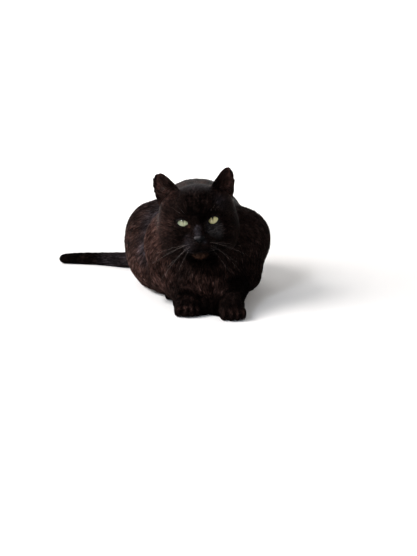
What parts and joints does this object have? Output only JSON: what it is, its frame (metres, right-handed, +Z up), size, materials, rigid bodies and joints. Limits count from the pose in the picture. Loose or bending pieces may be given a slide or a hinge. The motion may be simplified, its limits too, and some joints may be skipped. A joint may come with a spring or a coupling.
{
  "type": "black short-haired domestic cat figure, crouching",
  "caption": "Life-size still model of a black short-haired domestic cat in a low crouch, head up and forward, tail laid out to one side on the floor.",
  "frame": {"origin": "on the floor, on the flat under the belly, between the haunches and the shoulders", "axes": "+X to the cat's left, +Y to its rear, +Z up; the nose points to -Y"},
  "size_m": [0.2925, 0.3884, 0.1855],
  "materials": {
    "coat": "short dense black fur with a rusty brown cast, satin sheen along the hairs",
    "ear_coat": "thin fur over dark skin, reddish brown inside the cup",
    "nose_leather": "black, moist, finely pebbled",
    "eye": "pale yellow-green iris with a narrow dark pupil under a clear cornea"
  },
  "bodies": {
    "root": {"belly": "coat", "chest": "coat", "ear_left": "ear_coat", "ear_right": "ear_coat", "eye_left": "eye", "eye_right": "eye", "foreleg_lower_left": "coat", "foreleg_lower_right": "coat", "foreleg_upper_left": "coat", "foreleg_upper_right": "coat", "forepaw_left": "coat", "forepaw_right": "coat", "head": "coat", "hind_foot_left": "coat", "hind_foot_right": "coat", "lower_jaw": "coat", "neck": "coat", "nose": "nose_leather", "rump": "coat", "tail_base": "coat", "tail_middle": "coat", "tail_tip": "coat", "thigh_left": "coat", "thigh_right": "coat"}
  },
  "joints": []
}
